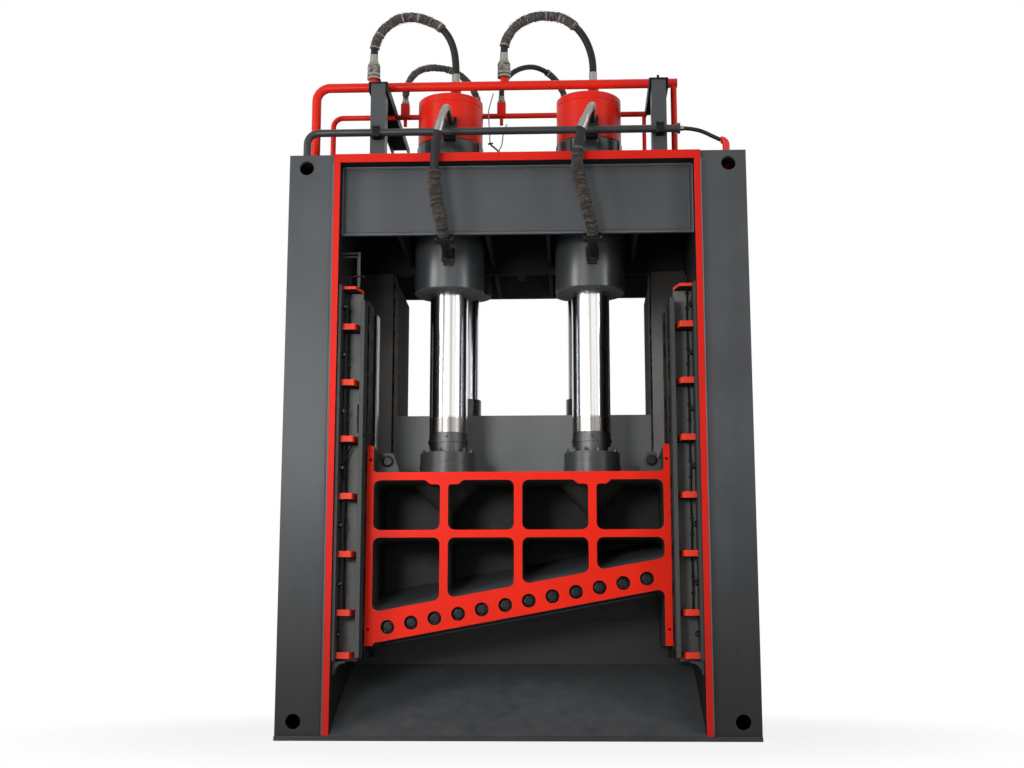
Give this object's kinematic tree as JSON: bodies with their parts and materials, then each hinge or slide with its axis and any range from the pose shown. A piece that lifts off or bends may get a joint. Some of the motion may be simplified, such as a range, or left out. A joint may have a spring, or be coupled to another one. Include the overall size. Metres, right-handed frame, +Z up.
{
  "type": "gantry shear",
  "caption": "Hydraulic gantry shear: gate frame with chute, feed table, inclined-blade carriage and press block on vertical rods, with pipework on top.",
  "frame": {"origin": "centre of the base plate's underside, on the floor", "axes": "+Z up, +X to the right seen from the front, the chute side faces -Y"},
  "size_m": [3.5, 2.4979, 5.817],
  "materials": {
    "grey_paint": "semi-gloss dark grey machine paint",
    "red_paint": "semi-gloss red machine paint",
    "black_paint": "satin black paint",
    "steel": "machined and zinc-plated steel",
    "chrome": "hard chrome plating",
    "hose_rubber": "black hydraulic hose",
    "liner": "greased wear liner"
  },
  "bodies": {
    "frame": {"base_plate": "grey_paint", "side_plate_left": "grey_paint", "side_plate_right": "grey_paint", "column_front_left": "grey_paint", "column_front_right": "grey_paint", "column_shell_left": "grey_paint", "column_shell_right": "grey_paint", "top_plate": "grey_paint", "beam_front_panel": "grey_paint", "beam_ribs": "grey_paint", "beam_cross_rib": "grey_paint", "beam_rear_panel": "grey_paint", "chute_plate": "grey_paint", "lower_knife_beam": "grey_paint", "feed_table": "grey_paint", "lower_blade": "steel", "lower_blade_bolts": "steel", "guide_left": "grey_paint", "guide_right": "grey_paint", "guide_ribs_left": "red_paint", "guide_ribs_right": "red_paint", "guide_bolts": "steel", "guide_box_left": "grey_paint", "guide_box_right": "grey_paint", "guide_liners": "liner", "rear_column_left": "grey_paint", "rear_column_right": "grey_paint", "press_liners": "liner", "main_barrel_left": "grey_paint", "main_barrel_right": "grey_paint", "main_cap_left": "red_paint", "main_cap_right": "red_paint", "main_nuts": "black_paint", "press_barrels": "grey_paint", "big_pipe": "red_paint", "small_pipe": "red_paint", "grey_pipe": "grey_paint", "pipe_posts": "grey_paint", "post_fittings": "black_paint", "hose_fittings": "steel", "port_blocks": "black_paint", "port_elbows": "chrome", "front_hose_left": "hose_rubber", "front_hose_right": "hose_rubber", "arch_hose_left": "hose_rubber", "arch_hose_right": "hose_rubber", "rear_hoses": "hose_rubber", "side_hose": "hose_rubber"},
    "knife": {"knife_carriage": "red_paint", "carriage_lugs": "grey_paint", "lug_pins": "steel", "upper_blade": "steel", "blade_bolts": "steel", "main_rod_left": "chrome", "main_rod_right": "chrome", "rod_sleeves": "steel", "rod_flanges": "grey_paint"},
    "press": {"press_block": "grey_paint", "press_rods": "chrome", "press_fittings": "grey_paint"}
  },
  "joints": [
    {"name": "knife_slide", "type": "slide", "parent": "frame", "child": "knife", "axis": [0, 0, 1], "range_m": [0, 1.1]},
    {"name": "press_slide", "type": "slide", "parent": "frame", "child": "press", "axis": [0, 0, 1], "range_m": [0, 0.9]}
  ]
}
